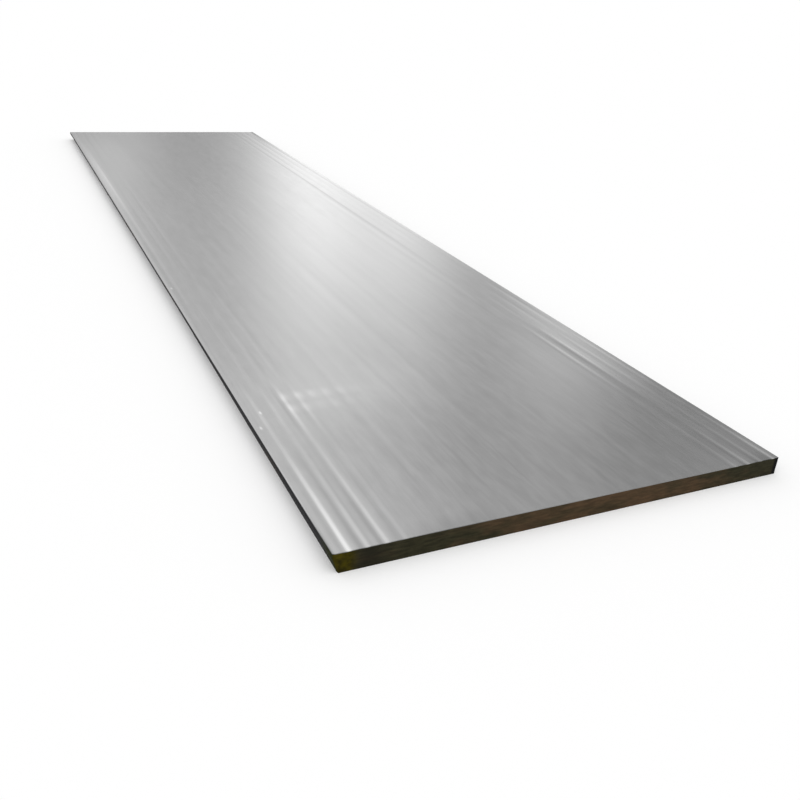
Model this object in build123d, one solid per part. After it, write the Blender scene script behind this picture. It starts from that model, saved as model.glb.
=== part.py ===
from build123d import *
import os

# A hot-rolled steel plate, lying flat: +X across its width, +Y along its length, +Z up.
# The origin is the middle of its underside.

# Driving sizes, in millimetres
plate_length = 6000
plate_width = 1500
plate_thickness = 60
long_edge_radius = 5     # rolled rounding along the two long edges
end_edge_radius = 2      # broken arris along the top and bottom of the two cut ends
upright_corner_radius = 6     # rounding of the four upright corners, seen from above
sheared_edge_upright = 12     # height of the upright band at the top of the left edge, which is sheared
sheared_edge_lean = 16     # how far the sheared edge draws in below that band, down to the underside
roll_line_width = 36     # a roll line is a shallow hollow that runs the whole length of the top
roll_line_depth = 0.4     # of the first roll line beside a long edge
roll_line_inset = 36     # from a long edge to the middle of its first roll line
roll_line_pitch = 52     # from one roll line to the next, towards the middle of the plate

# Share
roll_line_fade_share = 0.8     # depth of each next roll line, as a share of the one before it

# Count
roll_lines_per_edge = 4


def roll_line_hollow(depth):
    """The circle that cuts a roll line of that depth into the top, in section."""
    radius = (roll_line_width**2 / 4 + depth**2) / (2 * depth)
    return Pos(0, plate_thickness - depth + radius) * Circle(radius)


def shear_slope():
    """What the shear takes off below the upright band of the left edge, in section."""
    left = -plate_width / 2
    band_foot = plate_thickness - sheared_edge_upright
    return Polygon((left, band_foot), (left, 0), (left + sheared_edge_lean, 0), align=None)


def rolled_bar():
    """The rolled section, with its long edges and its roll lines, as long as the plate."""
    section = Pos(0, plate_thickness / 2) * RectangleRounded(plate_width, plate_thickness, long_edge_radius)
    section -= shear_slope()
    for line in range(roll_lines_per_edge):
        hollow = roll_line_hollow(roll_line_depth * roll_line_fade_share**line)
        from_middle = plate_width / 2 - roll_line_inset - line * roll_line_pitch
        section -= [Pos(side * from_middle, 0) * hollow for side in (-1, 1)]
    return extrude(Plane.XZ * section, amount=plate_length / 2, both=True)


def outline_from_above():
    """The plate's outline from above, with its rounded upright corners, as high as the plate."""
    return extrude(RectangleRounded(plate_width, plate_length, upright_corner_radius), amount=plate_thickness)


def outline_from_the_side():
    """The plate's outline from the side, with the broken arrises of its cut ends, as wide as the plate."""
    outline = RectangleRounded(plate_length, plate_thickness, end_edge_radius)
    outline = Plane.YZ * Pos(0, plate_thickness / 2) * outline
    return extrude(outline, amount=plate_width / 2, both=True)


# The plate is what the three outlines have in common
steel_plate = rolled_bar() & outline_from_above() & outline_from_the_side()

os.makedirs("parts", exist_ok=True)
export_step(steel_plate, "parts/steel_plate.step")
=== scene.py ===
import math

import bpy
import numpy as np
from mathutils import Matrix, Vector, noise


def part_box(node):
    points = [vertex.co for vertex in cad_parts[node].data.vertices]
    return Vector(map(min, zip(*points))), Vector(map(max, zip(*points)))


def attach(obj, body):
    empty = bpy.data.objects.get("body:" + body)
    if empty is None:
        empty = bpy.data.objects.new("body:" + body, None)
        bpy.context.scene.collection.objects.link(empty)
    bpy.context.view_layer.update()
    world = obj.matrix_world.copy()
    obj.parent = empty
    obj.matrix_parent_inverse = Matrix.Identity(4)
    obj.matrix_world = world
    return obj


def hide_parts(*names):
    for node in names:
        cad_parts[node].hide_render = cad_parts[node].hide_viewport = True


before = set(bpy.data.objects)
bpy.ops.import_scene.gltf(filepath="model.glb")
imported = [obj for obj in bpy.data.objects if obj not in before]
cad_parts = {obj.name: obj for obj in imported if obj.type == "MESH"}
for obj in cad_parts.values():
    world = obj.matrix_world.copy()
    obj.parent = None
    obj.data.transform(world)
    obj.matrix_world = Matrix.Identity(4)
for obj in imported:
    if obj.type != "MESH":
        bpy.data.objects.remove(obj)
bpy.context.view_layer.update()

# Axes: +X across the plate's width, +Y along its length from the near end, +Z up
ACROSS, ALONG, UP = range(3)

# Sizes of the plate, in metres
plate_low, plate_high = (np.array(corner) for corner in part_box("steel_plate"))
plate_middle = (plate_low + plate_high) / 2
plate_half = (plate_high - plate_low) / 2
long_edge_radius = 0.005
end_edge_radius = 0.002
upright_corner_radius = 0.006
sheared_edge_upright = 0.012
sheared_edge_lean = 0.016     # at the near end
sheared_edge_growth = 0.0095     # what the lean gains along the plate
sheared_edge_growth_reach = 1.5
sheared_edge_reach = 0.1     # how far from the sheared edge the mesh makes room for its lean
roll_line_width = 0.036
roll_line_depth = 0.0004
roll_line_fade_share = 0.8     # depth of each next roll line inwards, as a share of the one before it
roll_line_inset = 0.036
roll_line_pitch = 0.052
roll_lines_per_edge = 4

# Painted light on the roll lines: flanks that face left get a painted highlight, or painted shade where the
# share is below zero
worn_zones = {
    # place along the plate and reach, then the share of each roll line inwards from that side's edge
    "left": (
        (-3.0, 0.5, (1.0, 0.35, 0.55, 0.15)),
        (-2.2, 0.16, (0.35, 0.3, 0.7, 0.35)),
        (1.3, 0.8, (0.4, 0.0, 0.0, 0.0)),
    ),
    "right": (
        (-3.0, 0.22, (1.1, 0.45, 0.65, 0.3)),
        (-2.06, 0.25, (0.6, 0.5, 0.85, 0.8)),
        (0.9, 1.4, (-0.3, 0.0, 0.0, -0.35)),
    ),
}
dull_flank_shares = (0.1, 0.5, 0.5, 0.5)     # painted shade on a roll line's other flank beside a highlighted one
arris_dull_share = 1.5     # painted shade that darkens the top along the arrises of the cut ends
arris_dull_reach = 2 * end_edge_radius
worn_tone_gain = 0.27     # what full painted light adds to the steel's tone

# Marks on the top, lighter, or darker where the gain is below zero: partly real patches and streaks, partly
# painted highlights and painted shade
tone_marks = (
    # place across and along the plate, half width and half length, then what the mark adds to the tone
    # Patches
    (-0.717, 1.4, 0.025, 0.9, 0.19),
    (-0.5, 2.9, 0.24, 0.45, -0.08),
    (-0.42, -3.0, 0.13, 0.05, -0.09),
    (-0.33, -2.14, 0.28, 0.2, 0.055),
    (0.545, -1.88, 0.04, 0.22, -0.06),
    (0.675, -2.3, 0.06, 0.25, 0.11),
    (0.69, -3.0, 0.05, 0.06, -0.16),
    # Streaks along the plate
    # Painted shade: the top darkened at the left edge's near end
    (-0.75, -3.0, 0.005, 0.17, -0.45),
    (-0.744, -0.9, 0.008, 1.2, 0.08),
    (-0.697, -3.0, 0.008, 0.4, 0.07),
    (-0.675, -3.0, 0.01, 0.5, -0.03),
    (-0.646, -3.0, 0.007, 0.4, -0.06),
    (-0.59, -3.0, 0.008, 0.5, 0.04),
    (-0.447, -2.35, 0.012, 0.6, 0.018),
    (-0.414, -2.3, 0.013, 0.8, -0.035),
    (-0.39, -2.45, 0.012, 0.6, 0.018),
    (-0.225, -2.0, 0.012, 1.2, -0.015),
    (-0.105, -1.4, 0.014, 1.0, 0.022),
    (-0.068, -1.6, 0.012, 1.2, -0.015),
    (0.504, -0.6, 0.014, 1.6, -0.02),
    (0.534, 0.2, 0.012, 0.9, 0.02),
    (0.556, 0.2, 0.014, 1.1, -0.08),
    (0.594, -2.02, 0.014, 0.3, -0.1),
    (0.632, -2.1, 0.014, 0.25, 0.07),
    (0.705, 2.65, 0.012, 0.25, -0.14),
    (0.742, 3.0, 0.016, 0.4, -0.38),
)

# Bright spots on the top: a crosswise scuff in rows of spots that fade to the right, and specks
scuff_left = -0.597     # middle of a row's first spot
scuff_length = 0.397
scuff_rows = ((-2.132, 1.0), (-2.218, 0.6))     # place along the plate and strength
scuff_half_width = 0.05
scuff_spot_pitch = 0.05
scuff_gap_share = 0.25     # brightness between two spots, as a share of theirs
scuff_patch_size = (0.06, 0.12, 1.0)
scuff_patch_share = 0.5     # brightness of the faintest patch, as a share of the brightest one's
scuff_gain = 0.2
speck_places = ((-0.701, -2.219), (-0.728, -2.319), (-0.731, -0.965))
speck_size = (0.007, 0.018, 1.0)
speck_gain = 0.3

# Stations of the mesh, with their spacing in metres
step_beside_edges = 0.004
step_across_middle = 0.008
step_along = 0.06
step_up = 0.005
stations_per_turn = 4     # from one place where an edge's shape turns to the next, both counted
station_decimals = 6

# Relief that is finer than the solid's, in metres: it only ever lies inside the solid
top_wave_depth = 0.0004
top_wave_size = (0.35, 1.4, 1.0)
top_wave_seed = 3
end_relief_depth = 0.0009
end_relief_size = (0.07, 1.0, 0.02)
end_relief_seed = 11
long_edge_relief_depth = 0.0008
long_edge_relief_size = (1.0, 0.11, 0.02)
long_edge_relief_seed = 23
relief_octaves = 3
relief_octave_step = 2.0     # how many times finer each next octave is
relief_octave_fade = 0.6     # how quickly the octaves grow fainter

# Noise in the materials, most of whose values lie between the low one and the high one
noise_low = 0.3
noise_high = 0.7
noise_detail = 3.0
fine_noise_detail = 4.0
noise_roughness = 0.55
mottle_noise_roughness = 0.6
pit_noise_roughness = 0.65

# Steel of the rolled faces: tones as shares of white, and sizes of the noise along each axis in metres
steel_tone = 0.5
steel_roughness = 0.235
grain_size = (0.003, 0.6, 1.0)
grain_tone_swing = 0.006     # a swing is how far noise moves a value to either side
grain_roughness_swing = 0.015
grain_bump_strength = 0.04
grain_bump_depth = 0.0002
band_size = (0.035, 6.0, 1.0)
band_tone_swing = 0.009
mottle_size = (0.035, 0.14, 1.0)
mottle_tone_swing = 0.009
mottle_roughness_swing = 0.015
cloud_size = (0.2, 0.9, 1.0)
cloud_tone_swing = 0.01

# Scale and rust of the long edges and cut ends, each in a dark colour and a light one. The scale colours are
# set darker than real scale, as painted shade of these faces
long_edge_colours = ((0.019, 0.019, 0.02), (0.036, 0.036, 0.038))
end_colours = ((0.019, 0.018, 0.01), (0.036, 0.033, 0.018))
rust_colours = ((0.058, 0.037, 0.021), (0.086, 0.053, 0.029))
scale_roughness = (0.65, 0.85)
scale_specular = 0.04
scale_bump_strength = 0.6
scale_bump_depth = 0.0012
pit_size = (0.006, 0.006, 0.006)
pit_height_share = 0.6     # of the height of the streaks
long_edge_streak_size = (0.02, 0.25, 0.004)
long_edge_patch_size = (0.1, 0.3, 0.05)
long_edge_rust_share = 0.2     # in the rustiest patches
long_edge_rust_start = 0.5     # value of the noise at which a rusty patch begins
end_streak_size = (0.04, 0.02, 0.007)
end_patch_size = (0.12, 0.12, 0.04)
end_rust_share = 0.75     # along the middle
end_rust_swing = 0.3
end_rust_middle = 0.1     # place across the plate
end_rust_full = 0.1     # how far from that middle the rust begins to fade
end_rust_reach = 0.65     # how far from it the rust ends

# Corners of the cut ends: an olive stain and a scorched place at the left, painted black shade at the right
corner_wrap = 0.12     # how far the stain and the painted black shade go on round the corners, along the long edges
stain_colours = ((0.016, 0.013, 0.001), (0.057, 0.046, 0.001))
long_edge_stain_colour = (0.02, 0.023, 0.005)
stain_share = 0.9     # where it is strongest
stain_full = 0.045     # how far from the left edge the stain begins to fade
stain_end = 0.08     # how far from it the stain ends
stain_patch_size = (0.03, 0.03, 0.03)
burn_colour = (0.006, 0.006, 0.006)
burn_full = 0.014     # how far from the right edge the painted black shade begins to fade
burn_end = 0.024     # how far from it the painted black shade ends
scorch_share = 0.45     # of the full black of the painted corner shade
scorch_middle = 0.105     # from the left edge
scorch_reach = 0.07

# Material slots of the plate, by the axis that a face meets: long edges, cut ends, rolled faces
facing_slots = np.array([1, 2, 0])

# Camera, at the photograph's angle
camera_place = Vector((-1.3771, -4.5843, 1.3142))
camera_heading = math.radians(27.503)     # from +Y towards +X
camera_dip = math.radians(25.808)
camera_roll = math.radians(4.522)
camera_lens = 38.46
camera_sensor = 36.0
camera_shift = -0.021     # the lens axis is a little to the right of the picture's middle

# Light, as a share of what makes a white floor white
sky_light = 0.72
sun_light = 0.28
sun_heading = math.radians(205)     # from +Y towards +X
sun_height = math.radians(58)
sun_spread = math.radians(75)
floor_size = 400.0
floor_tone = 0.9

# A far studio wall that only shows in the plate's gloss, with its heights as angles seen from the plate
full_turn = 360     # degrees
wall_distance = 120.0
wall_columns = 360
wall_rows = 36
wall_top = math.radians(64)
wall_tone = 0.87
wall_foot = math.radians(16)     # how far up the wall's dim foot reaches
wall_foot_dim = 0.68     # share of its tone that the wall loses at its foot
wall_glow = 0.85     # what the wall gains higher up
wall_glow_start = math.radians(32)
wall_glow_full = math.radians(46)
wall_blend_start = math.radians(44)     # from here up to its top the wall blends into the white sky
window_height = math.radians(17)
wall_windows = (
    # heading and half width in degrees, then what the window adds to the wall's tone
    (6.5, 2.5, 0.8),
    (19.5, 3.8, 3.0),
    (26.5, 4.5, 2.7),
    (38.5, 4.7, 3.1),
    (110, 14, 1.2),
    (230, 16, 1.2),
    (310, 12, 1.0),
)
wall_dim_bay = (42, 21, -0.55)     # as for a window, but at every height


def bell(offset, reach):
    """1 where the offset is 0, falling smoothly to about a third at the reach and to nothing beyond it."""
    return np.exp(-((offset / reach) ** 2))


def smooth_step(values, start, end):
    """0 up to the start, 1 from the end on, and smooth between them."""
    rise = np.clip((values - start) / (end - start), 0, 1)
    return rise**2 * (3 - 2 * rise)


def stations(start, end, step):
    """Evenly spaced places from start to end, no further apart than step."""
    return np.linspace(start, end, math.ceil((end - start) / step) + 1)


def edge_stations():
    """Places inwards from an edge, close enough together for the roundings."""
    turns = (0, end_edge_radius, long_edge_radius, upright_corner_radius, sheared_edge_upright)
    return np.concatenate([np.linspace(a, b, stations_per_turn) for a, b in zip(turns, turns[1:])])


def mirrored(from_edge, half, middle):
    """Places from one side to the other, given those from an edge to the middle."""
    low_side = middle - half + np.unique(from_edge.round(station_decimals))
    high_side = 2 * middle - low_side
    return np.unique(np.concatenate([low_side, high_side]).round(station_decimals))


def plate_stations():
    """Stations across, along and up the plate."""
    near = edge_stations()
    lined = roll_line_inset + roll_lines_per_edge * roll_line_pitch
    beside_edges = stations(near[-1], lined, step_beside_edges)
    across = [near, beside_edges, stations(lined, plate_half[ACROSS], step_across_middle)]
    along = [near, stations(near[-1], plate_half[ALONG], step_along)]
    up = [near, stations(near[-1], plate_half[UP], step_up)]
    return [
        mirrored(np.concatenate(places), half, middle)
        for places, half, middle in zip((across, along, up), plate_half, plate_middle)
    ]


def box_surface(places):
    """Points and quads of a box's surface with a point at each station, and the axis that each quad meets."""
    shape = tuple(len(line) for line in places)
    on_surface = np.zeros(shape, bool)
    for axis in range(3):
        for side in (0, -1):
            on_surface[(slice(None),) * axis + (side,)] = True
    number = np.full(shape, -1)
    number[on_surface] = np.arange(on_surface.sum())
    points = np.stack(np.meshgrid(*places, indexing="ij"), -1)[on_surface]
    quads, facing = [], []
    for axis in range(3):
        for side in (0, -1):
            sheet = number.take(side, axis)
            corners = [sheet[:-1, :-1], sheet[1:, :-1], sheet[1:, 1:], sheet[:-1, 1:]]
            # Every quad is wound to face outwards
            if (side == 0) != (axis == ALONG):
                corners.reverse()
            quads.append(np.stack(corners, -1).reshape(-1, 4))
            facing.append(np.full(len(quads[-1]), axis))
    return points, np.concatenate(quads), np.concatenate(facing)


def rounded(points, axes, radius):
    """The points moved on to a box whose edges between those two axes are rounded."""
    axes = list(axes)
    offset = points[:, axes] - plate_middle[axes]
    inner = plate_half[axes] - radius
    past = np.maximum(np.abs(offset) - inner, 0)
    length = np.hypot(past[:, 0], past[:, 1])
    pull = np.divide(past.max(1), length, out=np.ones_like(length), where=length > 0)
    kept = np.minimum(np.abs(offset), inner) + past * pull[:, None]
    moved = points.copy()
    moved[:, axes] = plate_middle[axes] + np.sign(offset) * kept
    return moved


def sheared(points):
    """The points moved in below the upright band of the left edge, which the shear leaves leaning."""
    band_foot = plate_high[UP] - sheared_edge_upright
    down = np.clip((band_foot - points[:, UP]) / (band_foot - plate_low[UP]), 0, 1)
    beside = np.clip(1 - (points[:, ACROSS] - plate_low[ACROSS]) / sheared_edge_reach, 0, 1)
    near_end = bell(points[:, ALONG] - plate_low[ALONG], sheared_edge_growth_reach)
    lean = sheared_edge_lean + sheared_edge_growth * (1 - near_end)
    moved = points.copy()
    moved[:, ACROSS] += lean * down * beside
    return moved


def roll_line_turns(across):
    """Each roll line's side, its number inwards, and how far across it each place is, from -0.5 to 0.5."""
    for side, sign in (("left", -1), ("right", 1)):
        for line in range(roll_lines_per_edge):
            from_middle = plate_half[ACROSS] - roll_line_inset - line * roll_line_pitch
            place = plate_middle[ACROSS] + sign * from_middle
            yield side, line, np.clip((across - place) / roll_line_width, -0.5, 0.5)


def roll_line_depths(across):
    """The depth of the roll lines at places across the plate, with softened edges."""
    depths = np.zeros_like(across)
    for _, line, turn in roll_line_turns(across):
        depths += roll_line_depth * roll_line_fade_share**line * np.cos(math.pi * turn) ** 2
    return depths


def roll_line_wear(across, along):
    """How much painted highlight (above zero) or painted shade (below zero) the roll lines get at places on
    the top, from about -1 to 1.
    """
    wear = np.zeros_like(across)
    for side, line, turn in roll_line_turns(across):
        facing_left = np.sin(math.tau * turn)
        for place, reach, shares in worn_zones[side]:
            zone = bell(along - place, reach)
            # A painted highlight on the flank that faces left, painted shade on the other flank
            wear += zone * shares[line] * np.maximum(facing_left, 0)
            wear += zone * max(shares[line], 0) * dull_flank_shares[line] * np.minimum(facing_left, 0)
    return wear


def marked_tone(across, along):
    """What the patches and streaks, partly painted highlights and painted shade, add to the tone at places on
    the top.
    """
    gains = np.zeros_like(across)
    for place_across, place_along, half_width, half_length, gain in tone_marks:
        gains += gain * bell(across - place_across, half_width) * bell(along - place_along, half_length)
    return gains


def relief(points, size, seed):
    """Smooth noise at each point, from 0 to 1, with that feature size along each axis."""
    shifted = points / np.array(size) + seed
    octaves = (relief_octave_fade, relief_octave_step, relief_octaves)
    values = [noise.fractal(Vector(point), *octaves) for point in shifted]
    return np.clip((1 + np.array(values)) / 2, 0, 1)


def near_face(points, axis, depth):
    """1 on the two faces that this axis meets, falling to 0 at that depth inside them."""
    inside = plate_half[axis] - np.abs(points[:, axis] - plate_middle[axis])
    return np.clip(1 - inside / depth, 0, 1)


def on_top(box):
    """1 on the top of a plain box, falling to 0 below it."""
    return near_face(box, UP, long_edge_radius) * (box[:, UP] > plate_middle[UP])


def plate_points(box):
    """The points of a plain box moved to the plate's section, roll lines, ends and fine relief."""
    points = rounded(box, (ACROSS, UP), long_edge_radius)
    points = rounded(points, (ACROSS, ALONG), upright_corner_radius)
    points = rounded(points, (ALONG, UP), end_edge_radius)
    points = sheared(points)
    inwards = np.sign(plate_middle - box)
    waves = top_wave_depth * relief(box, top_wave_size, top_wave_seed)
    points[:, UP] -= on_top(box) * (roll_line_depths(box[:, ACROSS]) + waves)
    ends = near_face(box, ALONG, long_edge_radius) * (1 - near_face(box, UP, end_edge_radius))
    end_relief = end_relief_depth * relief(box, end_relief_size, end_relief_seed)
    points[:, ALONG] += inwards[:, ALONG] * ends * end_relief
    sides = near_face(box, ACROSS, long_edge_radius) * (1 - near_face(box, UP, long_edge_radius))
    side_relief = long_edge_relief_depth * relief(box, long_edge_relief_size, long_edge_relief_seed)
    points[:, ACROSS] += inwards[:, ACROSS] * sides * side_relief
    return points


def tone_gains(box):
    """What the painted light of the roll lines and arrises and the marks add to the steel's tone at each
    point of a plain box.
    """
    across = box[:, ACROSS]
    along = box[:, ALONG]
    # Painted highlights and shade of the roll lines, less the painted shade along the cut ends' arrises
    wear = roll_line_wear(across, along) - arris_dull_share * near_face(box, ALONG, arris_dull_reach)
    return on_top(box) * (wear * worn_tone_gain + marked_tone(across, along))


def plate_mesh():
    """The plate's mesh, with the material of each quad and the gain in tone from painted light and marks at
    each point.
    """
    box, quads, facing = box_surface(plate_stations())
    mesh = bpy.data.meshes.new("steel_plate_skin")
    mesh.from_pydata(plate_points(box).tolist(), [], quads.tolist())
    mesh.polygons.foreach_set("material_index", facing_slots[facing])
    mesh.polygons.foreach_set("use_smooth", np.ones(len(quads), bool))
    mesh.attributes.new("tone_gain", "FLOAT", "POINT").data.foreach_set("value", tone_gains(box))
    mesh.update()
    return mesh


def feed(tree, socket, value):
    """Links an input to another socket, or sets it to a value."""
    if isinstance(value, bpy.types.NodeSocket):
        tree.links.new(value, socket)
    else:
        socket.default_value = value


def add(tree, kind, inputs=None, **settings):
    """A new node with its settings made and its inputs fed."""
    made = tree.nodes.new(kind)
    for name, value in settings.items():
        setattr(made, name, value)
    for name, value in (inputs or {}).items():
        feed(tree, made.inputs[name], value)
    return made


def math_node(tree, operation, *values):
    """The result of a Math node."""
    return add(tree, "ShaderNodeMath", dict(enumerate(values)), operation=operation).outputs[0]


def vector_node(tree, operation, *values):
    """A Vector Math node."""
    return add(tree, "ShaderNodeVectorMath", dict(enumerate(values)), operation=operation)


def total(tree, values):
    """The sum of several values."""
    result = values[0]
    for value in values[1:]:
        result = math_node(tree, "ADD", result, value)
    return result


def distance(tree, value, middle):
    """How far a value is from a middle one."""
    return math_node(tree, "ABSOLUTE", math_node(tree, "SUBTRACT", value, middle))


def per_metre(size):
    """How many features of that size a metre has along each axis."""
    return tuple(1 / length for length in size)


def noise_node(tree, place, size, detail=noise_detail, roughness=noise_roughness):
    """Noise whose features have that size along each axis, in metres."""
    stretched = add(tree, "ShaderNodeMapping", {"Vector": place, "Scale": per_metre(size)})
    inputs = {"Vector": stretched.outputs[0], "Scale": 1.0, "Detail": detail, "Roughness": roughness}
    return add(tree, "ShaderNodeTexNoise", inputs).outputs["Fac"]


def spread(tree, value, low, high, from_low=noise_low, from_high=noise_high):
    """The value moved smoothly from one range to another, and kept in it."""
    inputs = {"Value": value, "From Min": from_low, "From Max": from_high, "To Min": low, "To Max": high}
    return add(tree, "ShaderNodeMapRange", inputs, interpolation_type="SMOOTHSTEP").outputs[0]


def swing(tree, value, size, middle=0):
    """Noise moved to a swing of that size to either side of a middle value."""
    return spread(tree, value, middle - size, middle + size)


def opaque(colour):
    """A colour with its alpha."""
    return (*colour, 1.0)


def grey(tone):
    """A neutral colour."""
    return opaque((tone, tone, tone))


def mixed(tree, factor, first, second):
    """A colour between two others."""
    made = add(tree, "ShaderNodeMix", data_type="RGBA")
    values = {"Factor_Float": factor, "A_Color": first, "B_Color": second}
    for socket in made.inputs:
        if socket.identifier in values:
            feed(tree, socket, values[socket.identifier])
    return next(socket for socket in made.outputs if socket.identifier == "Result_Color")


def shade(tree, value, colours):
    """A colour between a dark one and a light one, by noise."""
    dark, light = colours
    return mixed(tree, spread(tree, value, 0, 1), opaque(dark), opaque(light))


def bump(tree, height, strength, depth):
    """The normal of a surface with that height."""
    return add(tree, "ShaderNodeBump", {"Height": height, "Strength": strength, "Distance": depth}).outputs[0]


def attribute(tree, name):
    """A value that the mesh holds at each point."""
    return add(tree, "ShaderNodeAttribute", attribute_name=name).outputs["Fac"]


def object_place(tree):
    """The place on the object, in metres."""
    return add(tree, "ShaderNodeTexCoord").outputs["Object"]


def coordinate(tree, place, axis):
    """The place along one axis."""
    return add(tree, "ShaderNodeSeparateXYZ", {"Vector": place}).outputs[axis]


def new_material(name):
    """An empty node material and its tree."""
    material = bpy.data.materials.new(name)
    material.use_nodes = True
    material.node_tree.nodes.clear()
    return material, material.node_tree


def surface(tree, shader):
    """Sends a shader node to the material's surface."""
    add(tree, "ShaderNodeOutputMaterial", {"Surface": shader.outputs[0]})


def scuff(tree, place):
    """The crosswise scuff, from 0 to 1."""
    along = coordinate(tree, place, ALONG)
    rows = [
        spread(tree, distance(tree, along, row), strength, 0, 0, scuff_half_width)
        for row, strength in scuff_rows
    ]
    from_left = math_node(tree, "SUBTRACT", coordinate(tree, place, ACROSS), scuff_left)
    start = spread(tree, from_left, 0, 1, -scuff_spot_pitch / 2, 0)
    # The fade is 1 at the rows' left end, where it is steepest, and 0 at their right end
    fade = spread(tree, from_left, 2, 0, -scuff_length, scuff_length)
    turns = math_node(tree, "MULTIPLY", from_left, math.tau / scuff_spot_pitch)
    spots = spread(tree, math_node(tree, "COSINE", turns), scuff_gap_share, 1, -1, 1)
    patches = spread(tree, noise_node(tree, place, scuff_patch_size), scuff_patch_share, 1)
    shape = total(tree, rows)
    for share in (start, fade, spots, patches):
        shape = math_node(tree, "MULTIPLY", shape, share)
    return shape


def speck(tree, place, across, along):
    """A speck at that place on the top, from 0 to 1."""
    from_middle = vector_node(tree, "SUBTRACT", place, (across, along, plate_high[UP])).outputs[0]
    sized = vector_node(tree, "MULTIPLY", from_middle, per_metre(speck_size)).outputs[0]
    far = vector_node(tree, "LENGTH", sized).outputs["Value"]
    return spread(tree, far, 1, 0, 0, 1)


def rolled_steel():
    """Satin pickled steel: faint grain, bands, mottle and clouds, with the marks and the painted highlights
    and shade of the top.
    """
    material, tree = new_material("rolled_steel")
    place = object_place(tree)
    grain = noise_node(tree, place, grain_size, fine_noise_detail)
    bands = noise_node(tree, place, band_size)
    mottle = noise_node(tree, place, mottle_size, fine_noise_detail, mottle_noise_roughness)
    clouds = noise_node(tree, place, cloud_size)
    tones = [
        swing(tree, grain, grain_tone_swing, steel_tone),
        swing(tree, bands, band_tone_swing),
        swing(tree, mottle, mottle_tone_swing),
        swing(tree, clouds, cloud_tone_swing),
        attribute(tree, "tone_gain"),
        math_node(tree, "MULTIPLY", scuff(tree, place), scuff_gain),
    ]
    for across, along in speck_places:
        tones.append(math_node(tree, "MULTIPLY", speck(tree, place, across, along), speck_gain))
    tone = total(tree, tones)
    colour = add(tree, "ShaderNodeCombineColor", {channel: tone for channel in range(3)})
    grain_roughness = swing(tree, grain, grain_roughness_swing, steel_roughness)
    mottle_roughness = swing(tree, mottle, mottle_roughness_swing)
    inputs = {
        "Base Color": colour.outputs[0],
        "Metallic": 1.0,
        "Roughness": total(tree, [grain_roughness, mottle_roughness]),
        "Normal": bump(tree, grain, grain_bump_strength, grain_bump_depth),
    }
    surface(tree, add(tree, "ShaderNodeBsdfPrincipled", inputs))
    return material


def rusty_scale(tree, streaks, scale_colours, rust):
    """The colour of streaked dark scale, set darker still as painted shade, that is brown where there is
    rust.
    """
    return mixed(tree, rust, shade(tree, streaks, scale_colours), shade(tree, streaks, rust_colours))


def scale_shader(tree, place, streaks, colour):
    """A dull pitted surface of that colour, on which the streaks stand out."""
    pits = noise_node(tree, place, pit_size, fine_noise_detail, pit_noise_roughness)
    height = total(tree, [streaks, math_node(tree, "MULTIPLY", pits, pit_height_share)])
    inputs = {
        "Base Color": colour,
        "Roughness": spread(tree, pits, *scale_roughness),
        "Specular IOR Level": scale_specular,
        "Normal": bump(tree, height, scale_bump_strength, scale_bump_depth),
    }
    return add(tree, "ShaderNodeBsdfPrincipled", inputs)


def corner_stain(tree, across):
    """The olive stain of the left corners, from 0 to 1."""
    left = plate_low[ACROSS]
    return spread(tree, across, stain_share, 0, left + stain_full, left + stain_end)


def corner_burn(tree, across):
    """The painted black shade of the right corners and the scorched place at the left, from 0 to 1."""
    right = plate_high[ACROSS]
    burn = spread(tree, across, 0, 1, right - burn_end, right - burn_full)
    off_scorch = distance(tree, across, plate_low[ACROSS] + scorch_middle)
    return total(tree, [burn, spread(tree, off_scorch, scorch_share, 0, 0, scorch_reach)])


def at_ends(tree, place):
    """1 at the cut ends, falling to 0 where the corners' stain and painted black shade end along the plate.
    """
    off_middle = distance(tree, coordinate(tree, place, ALONG), plate_middle[ALONG])
    return spread(tree, off_middle, 0, 1, plate_half[ALONG] - corner_wrap, plate_half[ALONG])


def with_corners(tree, place, colour, stain_colour):
    """The colour with the stained and scorched corners and the painted black shade of the right corners put
    on it.
    """
    across = coordinate(tree, place, ACROSS)
    ends = at_ends(tree, place)
    stain = math_node(tree, "MULTIPLY", corner_stain(tree, across), ends)
    colour = mixed(tree, stain, colour, stain_colour)
    # Painted black shade at the right corners, and the scorch at the left
    burn = math_node(tree, "MULTIPLY", corner_burn(tree, across), ends)
    return mixed(tree, burn, colour, opaque(burn_colour))


def long_edge_scale():
    """The long edges: lengthwise streaks of scale with a little rust, stained at the corners, with painted
    black shade at the right corners.
    """
    material, tree = new_material("long_edge_scale")
    place = object_place(tree)
    streaks = noise_node(tree, place, long_edge_streak_size)
    patches = noise_node(tree, place, long_edge_patch_size)
    rust = spread(tree, patches, 0, long_edge_rust_share, long_edge_rust_start, noise_high)
    colour = rusty_scale(tree, streaks, long_edge_colours, rust)
    colour = with_corners(tree, place, colour, opaque(long_edge_stain_colour))
    surface(tree, scale_shader(tree, place, streaks, colour))
    return material


def end_rust(tree, place):
    """The rust of the cut ends, from 0 to 1: patchy, and strongest along the middle."""
    off_middle = distance(tree, coordinate(tree, place, ACROSS), end_rust_middle)
    middle = spread(tree, off_middle, end_rust_share, 0, end_rust_full, end_rust_reach)
    patches = swing(tree, noise_node(tree, place, end_patch_size), end_rust_swing)
    return spread(tree, total(tree, [middle, patches]), 0, 1, 0, 1)


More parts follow.
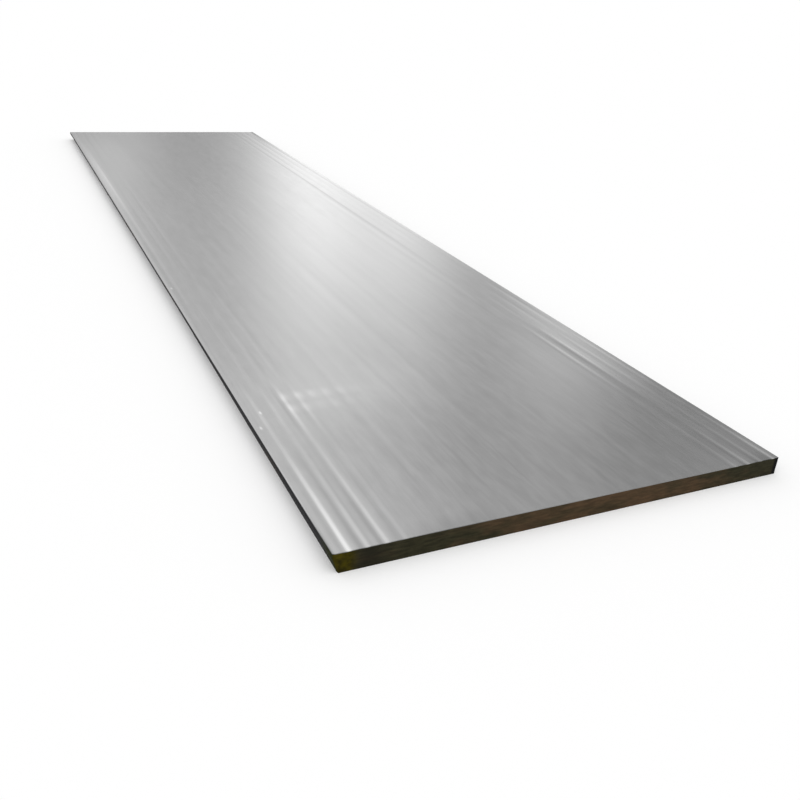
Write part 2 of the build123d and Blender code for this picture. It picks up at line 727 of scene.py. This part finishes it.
def cut_end_rust():
    """The cut ends: crosswise streaks of scale, rusty along the middle, stained at the corners, with painted
    black shade at the right corners.
    """
    material, tree = new_material("cut_end_rust")
    place = object_place(tree)
    streaks = noise_node(tree, place, end_streak_size)
    colour = rusty_scale(tree, streaks, end_colours, end_rust(tree, place))
    olive = shade(tree, noise_node(tree, place, stain_patch_size), stain_colours)
    colour = with_corners(tree, place, colour, olive)
    surface(tree, scale_shader(tree, place, streaks, colour))
    return material


def new_object(name, data):
    """A new object in the scene."""
    made = bpy.data.objects.new(name, data)
    bpy.context.scene.collection.objects.link(made)
    return made


def build_plate():
    """The plate, which stands for the solid."""
    plate = new_object("rolled_plate", plate_mesh())
    for material in (rolled_steel(), long_edge_scale(), cut_end_rust()):
        plate.data.materials.append(material)
    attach(plate, "root")
    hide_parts("steel_plate")


def white_rays(tree):
    """1 for rays that show the background by sight, in gloss or through glass, and 0 for rays of light."""
    path = add(tree, "ShaderNodeLightPath").outputs
    seen = math_node(tree, "MAXIMUM", path["Is Camera Ray"], path["Is Glossy Ray"])
    return math_node(tree, "MAXIMUM", seen, path["Is Transmission Ray"])


def build_floor():
    """A pale floor that reads as white in the open and keeps the plate's shadow."""
    half = floor_size / 2
    corners = [(-half, -half, 0), (half, -half, 0), (half, half, 0), (-half, half, 0)]
    mesh = bpy.data.meshes.new("floor")
    mesh.from_pydata(corners, [], [(0, 1, 2, 3)])
    material, tree = new_material("pale_floor")
    lit = add(tree, "ShaderNodeBsdfDiffuse", {"Color": grey(floor_tone)}).outputs[0]
    lift = math_node(tree, "MULTIPLY", white_rays(tree), 1 - floor_tone)
    glow = add(tree, "ShaderNodeEmission", {"Color": grey(1), "Strength": lift}).outputs[0]
    surface(tree, add(tree, "ShaderNodeAddShader", {0: lit, 1: glow}))
    mesh.materials.append(material)
    new_object("floor", mesh)


def wall_bay(heading, middle, half_width, gain):
    """What a soft-edged bay adds to the wall's tone, at headings in degrees."""
    off = (heading - middle + full_turn / 2) % full_turn - full_turn / 2
    return gain * bell(off, half_width)


def wall_tones(heading, height):
    """The wall's tone at headings in degrees and heights in radians."""
    tones = wall_tone + wall_bay(heading, *wall_dim_bay)
    for window in wall_windows:
        tones += wall_bay(heading, *window) * bell(height, window_height)
    tones += wall_glow * smooth_step(height, wall_glow_start, wall_glow_full)
    tones *= 1 - wall_foot_dim * bell(height, wall_foot)
    return tones + (1 - tones) * smooth_step(height, wall_blend_start, wall_top)


def wall_mesh():
    """A ring of wall round the plate, with its tone at each point."""
    headings = np.linspace(0, full_turn, wall_columns, endpoint=False)
    heading, height = np.meshgrid(headings, np.linspace(0, wall_top, wall_rows))
    turn = np.radians(heading)
    points = np.stack([np.sin(turn), np.cos(turn), np.tan(height)], -1).reshape(-1, 3) * wall_distance
    number = np.arange(heading.size).reshape(heading.shape)
    beside = np.roll(number, -1, 1)
    quads = np.stack([number[:-1], beside[:-1], beside[1:], number[1:]], -1).reshape(-1, 4)
    mesh = bpy.data.meshes.new("studio_wall")
    mesh.from_pydata(points.tolist(), [], quads.tolist())
    tones = wall_tones(heading, height).ravel()
    mesh.attributes.new("tone", "FLOAT", "POINT").data.foreach_set("value", tones)
    return mesh


def build_wall():
    """The far studio wall, which only shows in glossy surfaces."""
    mesh = wall_mesh()
    material, tree = new_material("studio_wall")
    surface(tree, add(tree, "ShaderNodeEmission", {"Color": grey(1), "Strength": attribute(tree, "tone")}))
    material.cycles.emission_sampling = "NONE"
    mesh.materials.append(material)
    wall = new_object("studio_wall", mesh)
    wall.visible_camera = False
    wall.visible_diffuse = False
    wall.visible_shadow = False


def build_sky():
    """A world that shows white and lights at the level of the sky light."""
    world = bpy.data.worlds.new("white_world")
    bpy.context.scene.world = world
    world.use_nodes = True
    tree = world.node_tree
    tree.nodes.clear()
    strength = math_node(tree, "MULTIPLY_ADD", white_rays(tree), 1 - sky_light, sky_light)
    sky = add(tree, "ShaderNodeBackground", {"Color": grey(1), "Strength": strength})
    add(tree, "ShaderNodeOutputWorld", {"Surface": sky.outputs[0]})


def build_sun():
    """One broad soft light from behind the camera, which the steel doesn't mirror."""
    lamp = bpy.data.lights.new("soft_key", "SUN")
    # As much as gives a level floor the sun's share of the light
    lamp.energy = sun_light * math.pi / math.sin(sun_height)
    lamp.angle = sun_spread
    sun = new_object("soft_key", lamp)
    sun.visible_glossy = False
    level = math.cos(sun_height)
    towards = (math.sin(sun_heading) * level, math.cos(sun_heading) * level, math.sin(sun_height))
    sun.rotation_mode = "QUATERNION"
    sun.rotation_quaternion = Vector(towards).to_track_quat("Z", "Y")


def build_camera():
    """The camera, at the photograph's angle."""
    level = math.cos(camera_dip)
    ahead = Vector((
        math.sin(camera_heading) * level,
        math.cos(camera_heading) * level,
        -math.sin(camera_dip),
    ))
    level_right = Vector((math.cos(camera_heading), -math.sin(camera_heading), 0))
    level_up = level_right.cross(ahead)
    right = level_right * math.cos(camera_roll) + level_up * math.sin(camera_roll)
    up = level_up * math.cos(camera_roll) - level_right * math.sin(camera_roll)
    lens = bpy.data.cameras.new("camera")
    lens.lens = camera_lens
    lens.sensor_width = camera_sensor
    lens.shift_x = camera_shift
    lens.clip_end = floor_size
    camera = new_object("camera", lens)
    turn = Matrix((right, up, -ahead)).transposed().to_4x4()
    camera.matrix_world = Matrix.Translation(camera_place) @ turn
    bpy.context.scene.camera = camera


build_plate()
build_floor()
build_wall()
build_sky()
build_sun()
build_camera()
bpy.context.scene.view_settings.view_transform = "Standard"
